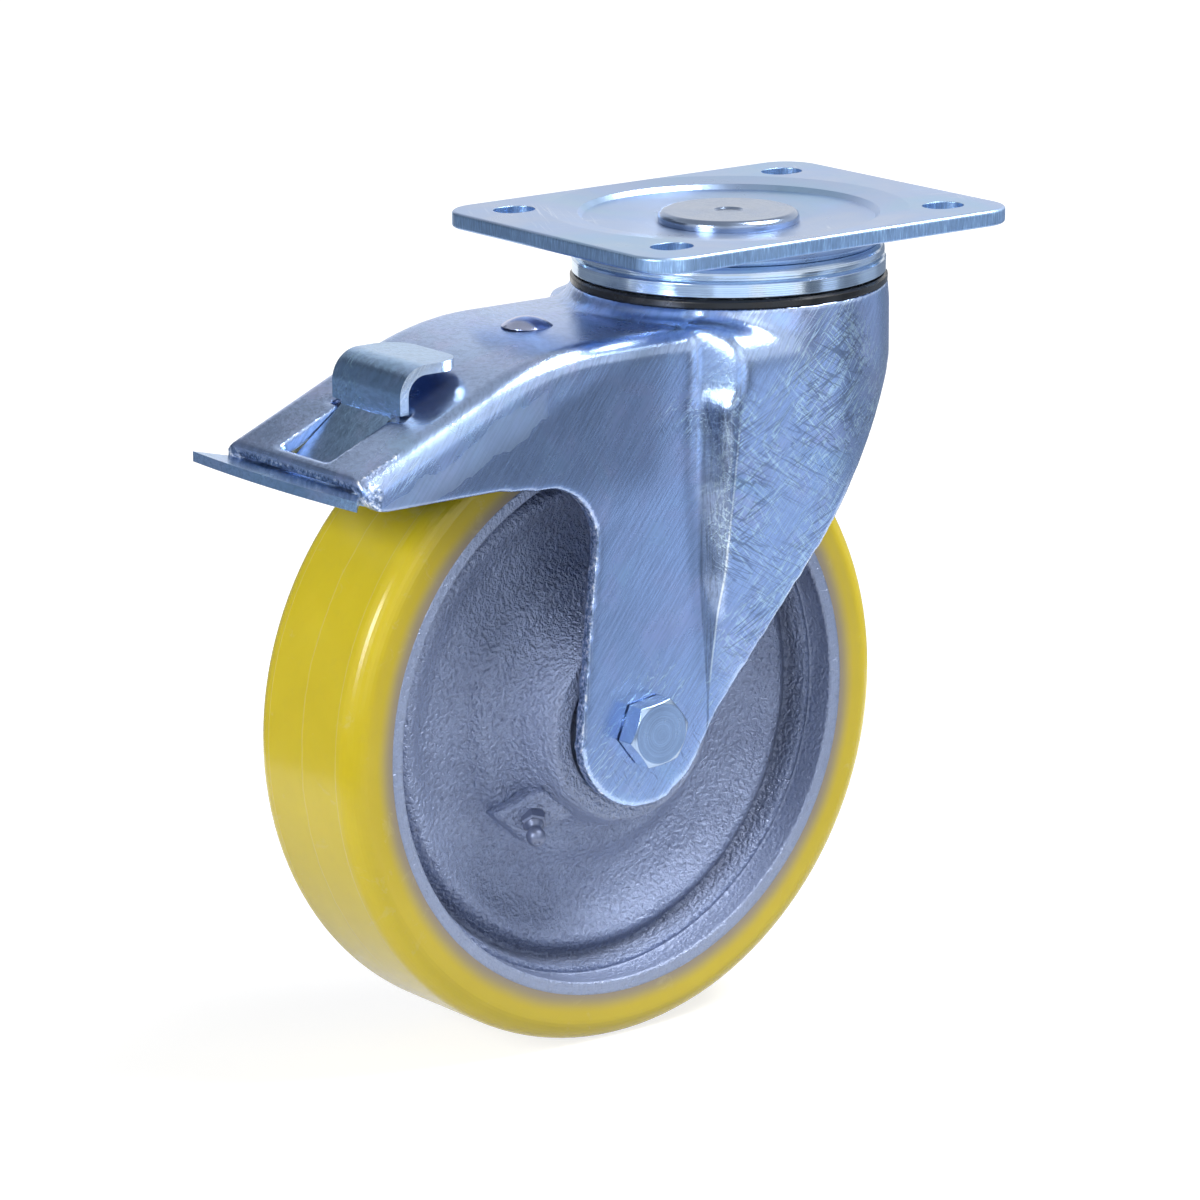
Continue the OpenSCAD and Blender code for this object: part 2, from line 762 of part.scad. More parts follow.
// A strip that follows the underside of the hood, from its flat to a place on its slope
module under_hood_strip(depth, t, half, front_x, rear_x) {
    r = hood_bend_r - depth;
    translate([hood_bend_x, -half, hood_z - depth - t])
        cube([rear_x - hood_bend_x, 2 * half, t]);
    translate([hood_bend_x, 0, hood_z - hood_bend_r])
        rotate([90, 0, 0])
            rotate([0, 0, 90])
                rotate_extrude(angle = hood_slope, $fn = 128)
                    translate([r - t, -half])
                        square([t, 2 * half]);
    length = (hood_slope_x - front_x) / cos(hood_slope);
    translate([hood_slope_x, 0, hood_slope_z])
        rotate([0, -hood_slope, 0])
            translate([-length, -half, -depth - seam_step - t])
                cube([length, 2 * half, t]);
}

module pedal_bracket() {
    cheek_top = (sheet_t + bracket_t / 2) / cos(hood_slope);
    color([0.55, 0.58, 0.64])
        difference() {
            union() {
                under_hood_strip(sheet_t, bracket_t, bracket_half, bracket_front_x, rivet_x + 10);
                side_pair(bracket_half - bracket_t, bracket_half) {
                    translate([pedal_x, pedal_z])
                        circle(r = pedal_pin_r + 2.6, $fn = 48);
                    polygon([[pedal_x - 4, pedal_z + 4], [pedal_x + 4.5, pedal_z - 3.4],
                        [bracket_front_x + 18, slope_z(bracket_front_x + 18) - cheek_top],
                        [bracket_front_x + 2, slope_z(bracket_front_x + 2) - cheek_top]]);
                }
            }
            translate([pedal_x, 0, pedal_z])
                y_bar(pedal_pin_r + seat_gap, -40, 40);
            translate([rivet_x, 0, hood_z - 20])
                cylinder(r = rivet_r + seat_gap, h = 20, $fn = 48);
        }
}

module pedal_pin() {
    color([0.7, 0.72, 0.76])
        translate([pedal_x, 0, pedal_z])
            y_bar(pedal_pin_r, -cheek_half - 1.4, cheek_half + 1.4);
}

// Side view of the strap that climbs through the window and curls over as the tab
module tab_profile() {
    foot_x = curl_x - curl_r;
    difference() {
        union() {
            intersection() {
                translate([curl_x, curl_z])
                    circle(r = curl_r, $fn = 96);
                translate([curl_x - 20, curl_z])
                    square([20, 20]);
            }
            translate([foot_x, curl_z - 4.8])
                square([pedal_t + 2, 4.8]);
        }
        translate([curl_x, curl_z])
            circle(r = curl_r - pedal_t, $fn = 96);
        translate([foot_x + pedal_t, curl_z - 10])
            square([10, 10]);
    }
    translate([curl_x, curl_z + curl_r - pedal_t])
        square([pad_rear_x - curl_x, pedal_t]);
}

// Side view of the sloping strap under and through the window
module strap_profile() {
    top_x = curl_x - curl_r;
    top_z = curl_z - 6;
    low_x = hood_front_x + 5;
    polygon([[low_x, tongue_rear_z], [top_x, top_z], [top_x, curl_z - 2], [top_x + pedal_t, curl_z - 2],
        [top_x + pedal_t, top_z - 1.6], [low_x + 1, tongue_rear_z - pedal_t]]);
}

module brake_pedal() {
    wide_x = hood_front_x + 9;
    color([0.62, 0.66, 0.74])
        difference() {
            union() {
                intersection() {
                    side_plate(2 * tongue_half)
                        polygon([[tongue_front_x - 3, tongue_front_z + 0.1], [wide_x, tongue_rear_z],
                            [wide_x, tongue_rear_z - pedal_t], [tongue_front_x - 3, tongue_front_z - pedal_t]]);
                    translate([0, 0, -80])
                        linear_extrude(40)
                            polygon(concat(
                                [for (i = [-6:6]) [tongue_front_x - 2.2 * (1 - i * i / 36), i * tongue_half / 6]],
                                [[hood_front_x, fork_outer_half - 3.5], [hood_front_x, cheek_half],
                                    [wide_x, cheek_half], [wide_x, -cheek_half],
                                    [hood_front_x, -cheek_half], [hood_front_x, -(fork_outer_half - 3.5)]]));
                }
                side_plate(2 * strap_half)
                    strap_profile();
                intersection() {
                    side_plate(2 * tab_half)
                        tab_profile();
                    translate([pad_rear_x - pad_l / 2, 0, -60])
                        linear_extrude(60)
                            rounded_rect(pad_l, 2 * tab_half, pad_corner_r);
                }
                side_pair(cheek_half - pedal_t, cheek_half) {
                    translate([pedal_x, pedal_z])
                        circle(r = pedal_pin_r + 2.5, $fn = 48);
                    polygon([[hood_front_x + 2, tongue_rear_z - pedal_t], [hood_front_x + 2, tongue_rear_z],
                        [wide_x, tongue_rear_z], [pedal_x - 1.6, pedal_z + 5.2], [pedal_x, pedal_z - 5.5],
                        [wide_x, tongue_rear_z - pedal_t - 2]]);
                }
            }
            translate([pedal_x, 0, pedal_z])
                y_bar(pedal_pin_r + slide_gap, -40, 40);
        }
}

// Underside of the leaf at a place along the castor
leaf_slope = 15.5;
function leaf_low_z(x) = leaf_top_z - leaf_t - max(0, leaf_bend_x - x) * tan(leaf_slope);

module brake_leaf() {
    color([0.5, 0.52, 0.58])
        difference() {
            side_plate(2 * leaf_half)
                polygon([[leaf_root_x, leaf_top_z], [leaf_bend_x, leaf_top_z],
                    [leaf_tip_x, leaf_low_z(leaf_tip_x) + leaf_t], [leaf_tip_x, leaf_low_z(leaf_tip_x)],
                    [leaf_bend_x, leaf_low_z(leaf_bend_x)], [leaf_root_x, leaf_top_z - leaf_t]]);
            translate([rivet_x, 0, leaf_top_z - 10])
                cylinder(r = rivet_r + 0.4, h = 20, $fn = 48);
        }
}

module brake_shoe() {
    front_x = -118;
    rear_x = -98;
    low_z = leaf_low_z(front_x) - 4 * shoe_half;
    color([0.12, 0.12, 0.13])
        difference() {
            side_plate(2 * shoe_half)
                polygon([[rear_x, leaf_low_z(rear_x)], [front_x, leaf_low_z(front_x)],
                    [front_x, low_z], [rear_x, low_z]]);
            translate([axle_x, 0, axle_z])
                y_bar(wheel_r + shoe_gap, -shoe_half - cut, shoe_half + cut);
        }
}

top_plate();
king_pin();
king_nut();
upper_race();
lower_race();
fork_housing();
swivel_seal();
upper_balls();
lower_balls();
axle_bolt();
axle_nut();
axle_sleeve();
thrust_rings();
bearing_inner_rings();
hood_rivet();
pedal_bracket();
pedal_pin();
wheel_centre();
tread();
bearing_outer_rings();
bearing_balls();
bearing_shields();
grease_nipple();
brake_pedal();
brake_leaf();
brake_shoe();
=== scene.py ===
import math

import bmesh
import bpy
import numpy as np
from mathutils import Matrix, Vector


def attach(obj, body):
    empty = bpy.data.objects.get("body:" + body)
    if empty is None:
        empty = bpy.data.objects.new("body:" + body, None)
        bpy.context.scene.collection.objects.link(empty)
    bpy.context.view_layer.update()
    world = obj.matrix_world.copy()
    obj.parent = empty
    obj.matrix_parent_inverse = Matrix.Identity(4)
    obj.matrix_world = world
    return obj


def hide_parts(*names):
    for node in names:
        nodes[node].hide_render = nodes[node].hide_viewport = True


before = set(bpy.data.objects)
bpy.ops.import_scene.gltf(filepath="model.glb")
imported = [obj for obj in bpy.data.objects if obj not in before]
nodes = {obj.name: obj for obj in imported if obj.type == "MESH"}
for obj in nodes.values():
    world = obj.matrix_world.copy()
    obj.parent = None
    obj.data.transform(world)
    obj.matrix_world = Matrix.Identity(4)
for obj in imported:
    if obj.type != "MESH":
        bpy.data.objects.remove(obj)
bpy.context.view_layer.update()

AXLE = (-0.061, 0.0, -0.146)
HEAD = (0.0, 0.0, 0.0)
ROUND_Z = (1, 1, 0)
ROUND_Y = (1, 0, 1)
FLOOR_Z = -0.246
HOOD_FALL = 0.4348      # drop of the hood's slope over its run
STEP_X = -0.0374        # middle of the step pressed in each side of the fork
STEP_END_Z = -0.139     # where that step runs out
SIDE_Y = 0.036          # outer face of the hood's sides and the legs


# Node graphs

class Graph:
    """One material and short ways to add nodes to it."""

    def __init__(self, name):
        self.mat = bpy.data.materials.new(name)
        self.mat.use_nodes = True
        self.tree = self.mat.node_tree
        self.tree.nodes.clear()
        out = self.add("ShaderNodeOutputMaterial")
        self.bsdf = self.add("ShaderNodeBsdfPrincipled")
        self.tree.links.new(self.bsdf.outputs[0], out.inputs[0])
        self.coords = self.add("ShaderNodeTexCoord").outputs["Object"]

    def add(self, kind, **values):
        node = self.tree.nodes.new(kind)
        for key, value in values.items():
            setattr(node, key, value)
        return node

    def put(self, socket, value):
        if isinstance(value, bpy.types.NodeSocket):
            self.tree.links.new(value, socket)
        elif isinstance(value, (tuple, list)) and len(value) == 3 and socket.type == "RGBA":
            socket.default_value = (*value, 1.0)
        else:
            socket.default_value = value

    def shader(self, **values):
        for key, value in values.items():
            self.put(self.bsdf.inputs[key.replace("_", " ")], value)

    def mapped(self, scale=(1, 1, 1), rotation=(0, 0, 0), vector=None):
        node = self.add("ShaderNodeMapping", vector_type="TEXTURE")
        self.put(node.inputs["Vector"], vector or self.coords)
        node.inputs["Rotation"].default_value = [math.radians(a) for a in rotation]
        node.inputs["Scale"].default_value = [1.0 / s for s in scale]
        return node.outputs[0]

    def noise(self, vector, scale, detail=3.0, roughness=0.5, distortion=0.0):
        node = self.add("ShaderNodeTexNoise")
        self.put(node.inputs["Vector"], vector)
        self.put(node.inputs["Scale"], scale)
        self.put(node.inputs["Detail"], detail)
        self.put(node.inputs["Roughness"], roughness)
        self.put(node.inputs["Distortion"], distortion)
        return node.outputs[0]

    def math(self, operation, a, b=0.0, clamp=False):
        node = self.add("ShaderNodeMath", operation=operation, use_clamp=clamp)
        self.put(node.inputs[0], a)
        self.put(node.inputs[1], b)
        return node.outputs[0]

    def product(self, *factors):
        total = factors[0]
        for factor in factors[1:]:
            total = self.math("MULTIPLY", total, factor)
        return total

    def span(self, value, low, high, to_low=0.0, to_high=1.0, smooth=True):
        node = self.add("ShaderNodeMapRange", interpolation_type="SMOOTHSTEP" if smooth else "LINEAR")
        self.put(node.inputs["Value"], value)
        node.inputs["From Min"].default_value = low
        node.inputs["From Max"].default_value = high
        node.inputs["To Min"].default_value = to_low
        node.inputs["To Max"].default_value = to_high
        return node.outputs[0]

    def ramp(self, value, stops):
        node = self.add("ShaderNodeValToRGB")
        self.put(node.inputs[0], value)
        ramp = node.color_ramp
        while len(ramp.elements) < len(stops):
            ramp.elements.new(1.0)
        for element, (place, colour) in zip(ramp.elements, stops):
            element.position = place
            element.color = (*colour, 1.0)
        return node.outputs[0]

    def mix(self, factor, a, b, blend="MIX"):
        node = self.add("ShaderNodeMix", data_type="RGBA", blend_type=blend)
        self.put(node.inputs[0], factor)
        self.put(node.inputs[6], a)
        self.put(node.inputs[7], b)
        return node.outputs[2]

    def bump(self, height, strength, distance, normal=None):
        node = self.add("ShaderNodeBump")
        self.put(node.inputs["Height"], height)
        node.inputs["Strength"].default_value = strength
        node.inputs["Distance"].default_value = distance
        if normal is not None:
            self.put(node.inputs["Normal"], normal)
        return node.outputs[0]

    def soft_edges(self, radius):
        node = self.add("ShaderNodeBevel", samples=6)
        node.inputs["Radius"].default_value = radius
        return node.outputs[0]

    def axes(self, vector=None):
        node = self.add("ShaderNodeSeparateXYZ")
        self.put(node.inputs[0], vector or self.coords)
        return node.outputs[0], node.outputs[1], node.outputs[2]

    def radius(self, centre, across):
        """Distance from an axis through centre; across is 1 on the two axes that count."""
        moved = self.add("ShaderNodeVectorMath", operation="SUBTRACT")
        self.put(moved.inputs[0], self.coords)
        moved.inputs[1].default_value = centre
        flat = self.add("ShaderNodeVectorMath", operation="MULTIPLY")
        self.put(flat.inputs[0], moved.outputs[0])
        flat.inputs[1].default_value = across
        length = self.add("ShaderNodeVectorMath", operation="LENGTH")
        self.put(length.inputs[0], flat.outputs[0])
        return length.outputs["Value"]

    def rings(self, radius, along, fine):
        """Fine noise that is the same all the way round an axis."""
        pair = self.add("ShaderNodeCombineXYZ")
        self.put(pair.inputs[0], radius)
        self.put(pair.inputs[1], along)
        return self.noise(pair.outputs[0], fine, 2.0, 0.6)

    def facing(self):
        """How far the surface faces each axis, from the object's own normals."""
        return self.axes(self.add("ShaderNodeTexCoord").outputs["Normal"])


def shades(base, *factors):
    """The base colour times each factor, no channel above 1."""
    return [[min(1, c * factor) for c in base] for factor in factors]


def scratches(g, rotation, scale, density, width):
    """Thin broken lines along one direction, 0 to 1."""
    stretched = g.mapped((1.0, 1.0, 0.035), rotation)
    lines = g.noise(stretched, scale, 2.0, 0.55, 0.12)
    thin = g.math("ABSOLUTE", g.math("SUBTRACT", lines, 0.5))
    line = g.span(thin, 0.0, width * 0.12, 1.0, 0.0)
    patches = g.noise(g.coords, scale * 0.055, 2.0)
    return g.math("MULTIPLY", line, g.span(patches, 1.0 - density, 1.0 - density + 0.16))


# Materials

def crossed(g, first, second):
    """Two sets of scratches that cross."""
    return g.math("ADD", scratches(g, *first), scratches(g, *second), True)


def painted_flank_shade(g, colour, base, x, side, z, drop):
    """Painted shade on the hood's sides below the shoulder: mixed toward a darker copy of the base, so they read
    darker than the legs.
    """
    shaded_flank = g.product(g.span(x, -0.044, -0.062), g.span(side, SIDE_Y - 0.0025, SIDE_Y - 0.0005),
                      g.span(z, -0.08, -0.062), g.span(drop, 0.001, -0.006))
    # Painted shade on the hood's flanks below the shoulder
    return g.mix(g.product(shaded_flank, 0.46), colour, *shades(base, 0.2))


def water_stain(g, x, side, drop, blots):
    """A crisp band with a wavy edge under the hood's shoulder."""
    wave = g.product(g.math("SUBTRACT", blots, 0.5), 0.014)
    level = g.math("ADD", drop, wave)
    return g.product(g.span(level, -0.0052, -0.0047), g.span(level, 0.004, 0.0035), g.span(x, -0.096, -0.099),
                     g.span(side, SIDE_Y - 0.002, SIDE_Y - 0.0005))


def step_shade_and_crest_highlight(g, colour, base, x, side, z):
    """The step in the fork's side: painted shade over marks drawn lengthwise, and a painted highlight along its
    crest.
    """
    width = g.span(z, STEP_END_Z, -0.1, 0.0004, 0.0036, smooth=False)
    offset = g.math("ADD", x, -STEP_X)
    away = g.math("DIVIDE", g.math("ABSOLUTE", offset), width)
    # The step's face: painted shade, with the drawn lengthwise marks in it
    step = g.product(g.span(away, 1.25, 0.85), g.span(z, -0.0405, -0.0445),
                     g.span(side, SIDE_Y - 0.001, SIDE_Y + 0.0005))
    drawn = g.noise(g.mapped((1.0, 1.0, 0.045)), 1500.0, 3.0, 0.65)
    pressed = g.ramp(drawn, list(zip((0.36, 0.52, 0.66), shades(base, 0.24, 0.5, 0.62))))
    colour = g.mix(g.product(step, 0.8), colour, pressed)
    # Painted highlight along the step's crest
    crest_highlight = g.math("ABSOLUTE", g.math("SUBTRACT", offset, g.product(width, 0.98)))
    crest_highlight = g.product(g.span(crest_highlight, 0.00045, 0.0001), g.span(z, -0.05, -0.06), g.span(z, STEP_END_Z, -0.132))
    return g.mix(g.product(crest_highlight, 0.7), colour, (0.85, 0.93, 1.0))


def sheet_metal(name, base, tint_amount, gloss, fork=False, bright_sides=False):
    """Blue zinc plate: fine slanted brushing, faint rainbow patches, scratches and dull stains.

    The fork also has its stains, hatching and sheared edges, painted shade on the hood's flanks, and painted shade
    and a painted crest highlight on its pressed steps."""
    g = Graph(name)
    x, y, z = g.axes()
    side = g.math("ABSOLUTE", y)
    broad = g.noise(g.coords, 16.0, 3.0, 0.55, 0.6)
    cloud = g.noise(g.coords, 55.0, 4.0, 0.6, 0.4)
    speck = g.noise(g.coords, 900.0, 2.0, 0.6)
    colour = g.ramp(broad, list(zip((0.3, 0.5, 0.72), shades(base, 0.9, 1.0, 1.06))))
    film = g.noise(g.mapped((1.0, 1.0, 1.6), (12, 25, 30)), 26.0, 3.0, 0.5, 1.2)
    rainbow = g.ramp(film, [(0.32, (0.32, 0.66, 0.84)), (0.43, (0.4, 0.52, 0.86)), (0.52, (0.62, 0.5, 0.88)),
                            (0.6, (0.74, 0.54, 0.74)), (0.7, (0.44, 0.66, 0.86))])
    colour = g.mix(g.span(cloud, 0.38, 0.75, 0.0, tint_amount), colour, rainbow)
    brushing = g.noise(g.mapped((1.0, 0.3, 0.05), (0, 38, 0)), 1300.0, 3.0, 0.65)
    colour = g.mix(g.span(brushing, 0.4, 0.66, 0.0, 0.4), colour, *shades(base, 0.6))
    blots = g.noise(g.mapped((1, 1, 0.6)), 70.0, 3.0, 0.5, 0.6)
    stain = g.product(g.span(blots, 0.58, 0.68), 0.08)
    light = scratches(g, (0, 50, 10), 420.0, 0.48, 0.14)
    dark = scratches(g, (0, -35, 20), 380.0, 0.46, 0.14)
    if bright_sides:
        cut = g.span(g.math("ABSOLUTE", g.facing()[1]), 0.5, 0.75)
        colour = g.mix(g.product(cut, 0.85), colour, (0.86, 0.94, 1.0))
    if fork:
        drop = g.math("SUBTRACT", z, g.product(x, HOOD_FALL))
        # Painted shade on the hood's flanks
        colour = painted_flank_shade(g, colour, base, x, side, z, drop)
        stain = g.math("MAXIMUM", stain, water_stain(g, x, side, drop, blots))
        amount = g.product(g.span(side, SIDE_Y + 0.0005, SIDE_Y + 0.0035, 0.22, 1.0),
                           g.span(x, -0.04, -0.032, 0.25, 0.85))
        light_hatch = crossed(g, ((0, 40, 0), 480.0, 0.62, 0.3), ((0, -42, 0), 440.0, 0.58, 0.3))
        dark_hatch = crossed(g, ((0, 62, 0), 460.0, 0.58, 0.3), ((0, -60, 0), 420.0, 0.56, 0.3))
        light = g.math("MAXIMUM", g.product(light, 0.7), g.product(light_hatch, amount))
        dark = g.math("MAXIMUM", g.product(dark, 0.7), g.product(dark_hatch, amount))
    colour = g.mix(g.product(stain, 0.42), colour, (0.24, 0.3, 0.38))
    if fork:
        # Painted shade and a painted crest highlight on the pressed steps
        colour = step_shade_and_crest_highlight(g, colour, base, x, side, z)
    colour = g.mix(g.product(light, 0.8), colour, [min(1, c * 1.5 + 0.1) for c in base])
    colour = g.mix(g.product(dark, 0.8), colour, *shades(base, 0.34))
    rough = g.span(cloud, 0.25, 0.8, gloss - 0.03, gloss + 0.05)
    rough = g.math("ADD", rough, g.product(stain, 0.14))
    height = g.math("ADD", g.product(brushing, 0.6), g.product(speck, 0.4))
    height = g.math("ADD", height, g.product(light, -0.5))
    if fork:
        sheared = g.add("ShaderNodeAttribute", attribute_name="sheared").outputs["Fac"]
        tear = g.noise(g.coords, 800.0, 3.0, 0.7)
        torn = g.ramp(tear, list(zip((0.36, 0.52, 0.64), [*shades(base, 0.3, 0.85), (0.92, 0.95, 1.0)])))
        colour = g.mix(sheared, colour, torn)
        rough = g.math("ADD", rough, g.product(sheared, 0.14))
        height = g.math("ADD", height, g.product(tear, sheared, 2.4))
    normal = g.bump(height, 0.2, 0.0004)
    g.shader(Base_Color=colour, Metallic=0.96, Roughness=rough, Normal=normal)
    return g.mat


def plate_metal(name, base):
    """Zinc plate with a rolled top face and sheared, striped edges."""
    g = Graph(name)
    cloud = g.noise(g.coords, 40.0, 4.0, 0.6, 0.5)
    fine = g.noise(g.mapped((1.0, 1.0, 0.05), (0, 90, 24)), 1300.0, 2.0, 0.6)
    film = g.noise(g.coords, 22.0, 3.0, 0.5, 1.0)
    colour = g.ramp(cloud, list(zip((0.3, 0.6, 0.8), shades(base, 0.9, 1.0, 1.08))))
    rainbow = g.ramp(film, [(0.35, (0.42, 0.62, 0.78)), (0.5, (0.55, 0.56, 0.82)), (0.65, (0.66, 0.6, 0.74))])
    colour = g.mix(0.22, colour, rainbow)
    scratch = g.math("MAXIMUM", scratches(g, (0, 90, 62), 330.0, 0.45, 0.12),
                     scratches(g, (0, 90, -20), 360.0, 0.42, 0.12))
    colour = g.mix(g.product(scratch, 0.4), colour, (0.9, 0.94, 1.0))
    side = g.span(g.math("ABSOLUTE", g.facing()[2]), 0.4, 0.7, 1.0, 0.0)
    stripes = g.noise(g.mapped((1.0, 1.0, 0.12)), 1900.0, 3.0, 0.6)
    sheared = g.ramp(stripes, list(zip((0.34, 0.56, 0.72), shades(base, 0.9, 1.15, 1.7))))
    colour = g.mix(side, colour, sheared)
    rough = g.span(cloud, 0.25, 0.8, 0.26, 0.42)
    height = g.math("ADD", g.product(fine, 0.5), g.product(stripes, side, 0.8))
    normal = g.bump(height, 0.15, 0.0004, g.soft_edges(0.0004))
    g.shader(Base_Color=colour, Metallic=0.94, Roughness=rough, Normal=normal)
    return g.mat


def turned_metal(name, base, centre=HEAD, across=ROUND_Z, gloss=0.22, metal=0.9, wear=0.4, edge=0.0003):
    """Turned or rolled steel with fine rings round its own axis."""
    g = Graph(name)
    along = g.axes()[2 if across[2] == 0 else 1]
    radius = g.radius(centre, across)
    fine = g.rings(radius, along, 2600.0)
    broad = g.rings(radius, along, 420.0)
    cloud = g.noise(g.coords, 75.0, 4.0, 0.6, 0.4)
    colour = g.ramp(cloud, list(zip((0.3, 0.6, 0.8), shades(base, 0.84, 1.0, 1.1))))
    colour = g.mix(g.span(fine, 0.4, 0.7, 0.0, wear), colour, [min(1, c * 1.35 + 0.03) for c in base])
    colour = g.mix(g.span(broad, 0.5, 0.72, 0.0, 0.25), colour, *shades(base, 0.68))
    rough = g.span(cloud, 0.25, 0.8, gloss - 0.05, gloss + 0.1)
    normal = g.bump(fine, 0.14, 0.0003, g.soft_edges(edge))
    g.shader(Base_Color=colour, Metallic=metal, Roughness=rough, Normal=normal)
    return g.mat


def rubber(name, base, gloss):
    """Black rubber with dull clouds and a fine grain."""
    g = Graph(name)
    cloud = g.noise(g.coords, 90.0, 4.0, 0.6, 0.3)
    fine = g.noise(g.coords, 1400.0, 2.0, 0.6)
    colour = g.ramp(cloud, list(zip((0.3, 0.7), shades(base, 0.75, 1.4))))
    rough = g.span(cloud, 0.3, 0.75, gloss - 0.05, gloss + 0.14)
    g.shader(Base_Color=colour, Roughness=rough, Normal=g.bump(fine, 0.12, 0.0003, g.soft_edges(0.0004)))
    return g.mat


def tread_plastic(name):
    """Yellow polyurethane: ochre toward the bond line, faint mould lines round the running face."""
    g = Graph(name)
    x, y, z = g.axes()
    radius = g.radius(AXLE, ROUND_Y)
    cloud = g.noise(g.coords, 24.0, 4.0, 0.55, 0.4)
    dust = g.noise(g.coords, 260.0, 4.0, 0.65)
    scuff = g.span(g.noise(g.mapped((1, 0.5, 1)), 120.0, 5.0, 0.7, 0.6), 0.6, 0.72)
    colour = g.ramp(cloud, [(0.3, (0.62, 0.49, 0.016)), (0.55, (0.66, 0.525, 0.02)), (0.8, (0.7, 0.56, 0.028))])
    colour = g.mix(g.span(dust, 0.5, 0.75, 0.0, 0.08), colour, (0.42, 0.33, 0.06))
    side = g.span(radius, 0.0972, 0.0915, 0.0, 1.0)
    edge_wave = g.math("ADD", radius, g.math("MULTIPLY", g.noise(g.coords, 60.0, 3.0), 0.0012))
    colour = g.mix(g.math("MULTIPLY", side, 0.3), colour, (0.5, 0.37, 0.04))
    bond = g.span(edge_wave, 0.0915, 0.0858, 0.0, 1.0)
    colour = g.mix(g.math("MULTIPLY", bond, 0.8), colour, (0.25, 0.22, 0.24))
    colour = g.mix(g.math("MULTIPLY", scuff, 0.18), colour, (0.72, 0.64, 0.3))
    across = g.math("ABSOLUTE", y)
    line = g.span(g.math("ABSOLUTE", g.math("SUBTRACT", across, 0.0172)), 0.0, 0.0004, 1.0, 0.0)
    wander = g.math("ADD", y, g.math("MULTIPLY", g.math("SUBTRACT", g.noise(g.coords, 90.0, 3.0), 0.5), 0.0022))
    seam = g.span(g.math("ABSOLUTE", wander), 0.0, 0.0004, 1.0, 0.0)
    line = g.math("ADD", line, g.math("MULTIPLY", seam, 2.0), True)
    face = g.span(radius, 0.0985, 0.0993, 0.0, 1.0)
    line = g.math("MULTIPLY", line, face)
    colour = g.mix(g.math("MULTIPLY", line, 0.3), colour, (0.74, 0.64, 0.22))
    rings = g.rings(radius, y, 900.0)
    height = g.math("ADD", g.math("MULTIPLY", line, 1.0), g.math("MULTIPLY", rings, 0.12))
    height = g.math("ADD", height, g.math("MULTIPLY", dust, 0.05))
    rough = g.span(dust, 0.3, 0.75, 0.17, 0.27)
    g.shader(Base_Color=colour, Roughness=rough, Normal=g.bump(height, 0.2, 0.0005),
             Subsurface_Weight=0.12, Subsurface_Radius=(0.004, 0.0026, 0.0006), Subsurface_Scale=1.0,
             Specular_IOR_Level=0.45)
    return g.mat


def cast_metal(name):
    """Grey lacquer over rough cast iron; the machined rim is a little smoother."""
    g = Graph(name)
    x, y, z = g.axes()
    radius = g.radius(AXLE, ROUND_Y)
    cloud = g.noise(g.coords, 30.0, 4.0, 0.6, 0.5)
    grain = g.noise(g.coords, 700.0, 3.0, 0.55, 0.2)
    pits = g.noise(g.coords, 1000.0, 3.0, 0.6)
    rim = g.span(radius, 0.0795, 0.0805)
    colour = g.ramp(cloud, [(0.3, (0.24, 0.295, 0.46)), (0.52, (0.29, 0.355, 0.54)), (0.75, (0.33, 0.4, 0.6))])
    colour = g.mix(g.span(grain, 0.5, 0.68, 0.0, 0.3), colour, (0.42, 0.5, 0.72))
    colour = g.mix(g.span(grain, 0.46, 0.32, 0.0, 0.25), colour, (0.1, 0.12, 0.2))
    colour = g.mix(g.span(pits, 0.46, 0.34, 0.0, 0.25), colour, (0.13, 0.15, 0.25))
    # Painted shade in the hollow between the web's bulge and the rim's ledge
    hollow_shade = g.math("MULTIPLY", g.span(radius, 0.0783, 0.077), g.span(radius, 0.069, 0.076))
    colour = g.mix(g.math("MULTIPLY", hollow_shade, 0.4), colour, (0.09, 0.105, 0.16))
    turned = g.rings(radius, y, 1100.0)
    machined = g.mix(g.span(turned, 0.4, 0.7, 0.0, 0.4), (0.25, 0.3, 0.44), (0.38, 0.45, 0.62))
    colour = g.mix(g.math("MULTIPLY", rim, 0.6), colour, machined)
    rough = g.math("ADD", g.span(grain, 0.3, 0.75, 0.3, 0.46), g.math("MULTIPLY", rim, -0.02))
    smooth = g.math("SUBTRACT", 1.0, g.math("MULTIPLY", rim, 0.5))
    height = g.math("MULTIPLY", g.math("ADD", grain, g.math("MULTIPLY", pits, 0.4)), smooth)
    normal = g.bump(height, 1.0, 0.0016, g.soft_edges(0.0012))
    g.shader(Base_Color=colour, Metallic=0.45, Roughness=rough, Normal=normal,
             Coat_Weight=0.4, Coat_Roughness=0.2, Coat_Normal=normal)
    return g.mat


# Fork housing: a smooth copy of the pressed sheet

BEND_PASSES = 2         # smoothing of the whole sheet
CROWN_PASSES = 16       # smoothing of the deep drawn crown and step


